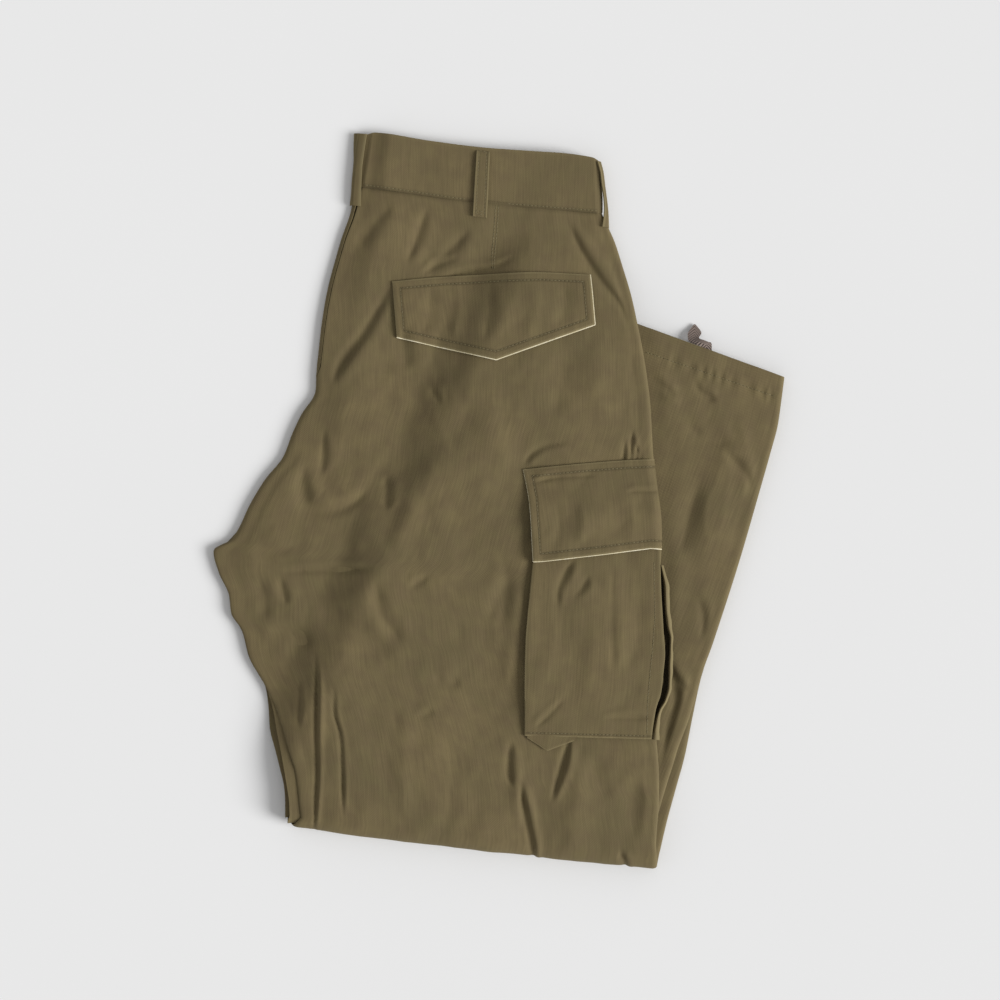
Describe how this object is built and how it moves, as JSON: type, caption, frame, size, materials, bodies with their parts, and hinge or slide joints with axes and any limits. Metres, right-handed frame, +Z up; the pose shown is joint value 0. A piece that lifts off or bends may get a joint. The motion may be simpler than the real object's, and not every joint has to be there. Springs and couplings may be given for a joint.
{
  "type": "cargo pants, folded flat",
  "caption": "Olive cotton cargo trousers, folded flat in half and under at the knee, with a flapped bellows cargo pocket.",
  "frame": {"origin": "middle of the folded garment's footprint, on the surface it lies on", "axes": "+Y towards the waistband along the garment's longest side, +Z up out of the pile, +X towards the hem that lies beside the seat"},
  "size_m": [0.4828, 0.6208, 0.0305],
  "materials": {
    "olive_cotton_twill": "matt",
    "dark_drawcord_tape": "matt"
  },
  "bodies": {
    "root": {"back_right": "olive_cotton_twill", "back_left": "olive_cotton_twill", "front_layers": "olive_cotton_twill", "waistband": "olive_cotton_twill", "pocket_flap_back": "olive_cotton_twill", "cargo_bag": "olive_cotton_twill", "cargo_gusset": "olive_cotton_twill", "cargo_flap": "olive_cotton_twill", "belt_loop_back_right": "olive_cotton_twill", "belt_loop_centre_back": "olive_cotton_twill", "belt_loop_side_right": "olive_cotton_twill", "belt_loop_side_left": "olive_cotton_twill", "hem_tie": "dark_drawcord_tape"}
  },
  "joints": []
}
